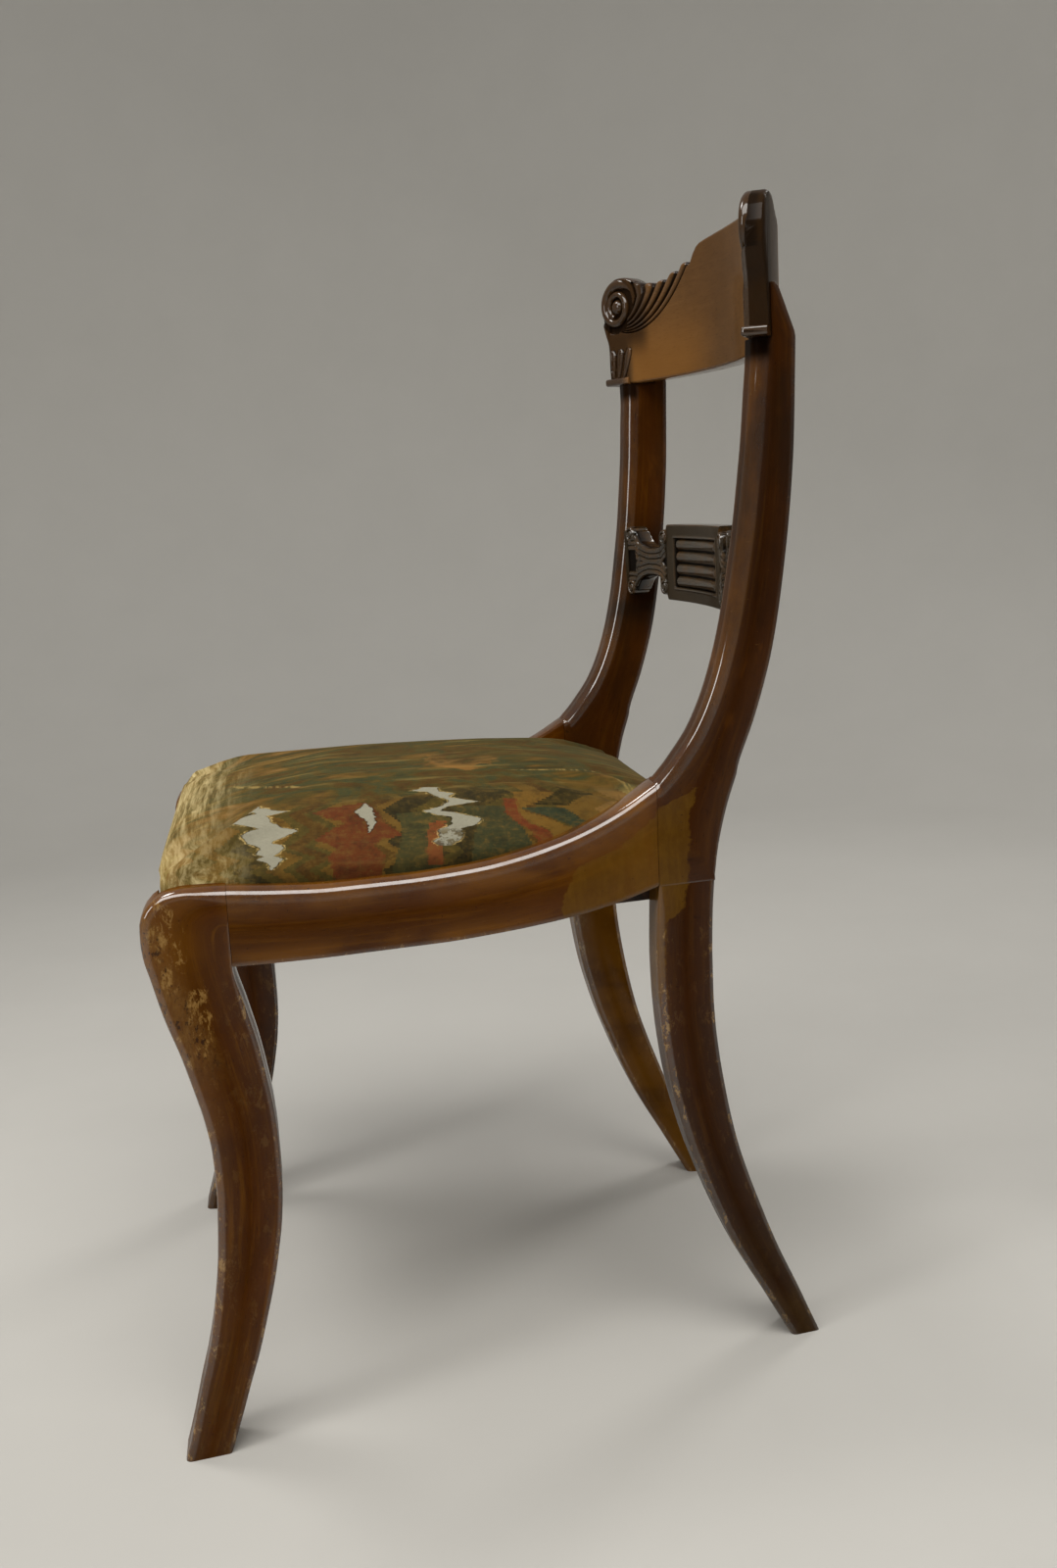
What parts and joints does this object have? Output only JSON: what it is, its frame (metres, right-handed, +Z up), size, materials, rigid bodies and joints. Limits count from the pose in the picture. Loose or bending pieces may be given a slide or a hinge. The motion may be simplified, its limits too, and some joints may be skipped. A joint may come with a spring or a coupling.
{
  "type": "dining side chair",
  "caption": "Side chair with sabre legs, swept side rails, a scroll-carved curved crest rail, a carved middle rail and a loose drop-in upholstered seat.",
  "frame": {"origin": "on the floor, under the middle of the chair's bounding box", "axes": "+X to the sitter's left, +Y towards the back, +Z up; the chair faces -Y"},
  "size_m": [0.4482, 0.5056, 0.8645],
  "materials": {
    "mahogany": "worn French polish, glossy red-brown",
    "carved_mahogany": "dark polish with wax and dirt in the carving",
    "beech": "bare, sawn and planed",
    "stained_beech": "stained dark and dusty",
    "jute": "woven webbing and hessian",
    "stuffing": "felted fibre",
    "velvet": "worn cut velvet with a flame-stitch pattern",
    "steel": "dull slotted wood screws"
  },
  "bodies": {
    "chair_frame": {"left_front_leg": "mahogany", "left_rear_leg": "mahogany", "left_side_rail": "mahogany", "right_front_leg": "mahogany", "right_rear_leg": "mahogany", "right_side_rail": "mahogany", "front_seat_rail": "mahogany", "rear_seat_rail": "mahogany", "crest_rail": "carved_mahogany", "middle_rail": "carved_mahogany", "left_front_corner_block": "stained_beech", "left_rear_corner_block": "stained_beech", "right_front_corner_block": "stained_beech", "right_rear_corner_block": "stained_beech", "left_front_block_screw_side": "steel", "left_front_block_screw_end": "steel", "left_rear_block_screw_side": "steel", "left_rear_block_screw_end": "steel", "right_front_block_screw_side": "steel", "right_front_block_screw_end": "steel", "right_rear_block_screw_side": "steel", "right_rear_block_screw_end": "steel"},
    "drop_in_seat": {"seat_frame_front": "beech", "seat_frame_rear": "beech", "seat_frame_left": "beech", "seat_frame_right": "beech", "webbing_fore_aft_1": "jute", "webbing_fore_aft_2": "jute", "webbing_fore_aft_3": "jute", "webbing_cross_1": "jute", "webbing_cross_2": "jute", "webbing_cross_3": "jute", "seat_hessian": "jute", "seat_pad": "stuffing", "seat_cover": "velvet"}
  },
  "joints": [
    {"name": "seat_lift", "type": "slide", "parent": "chair_frame", "child": "drop_in_seat", "axis": [0, 0, 1], "range_m": [0, 0.15]}
  ]
}
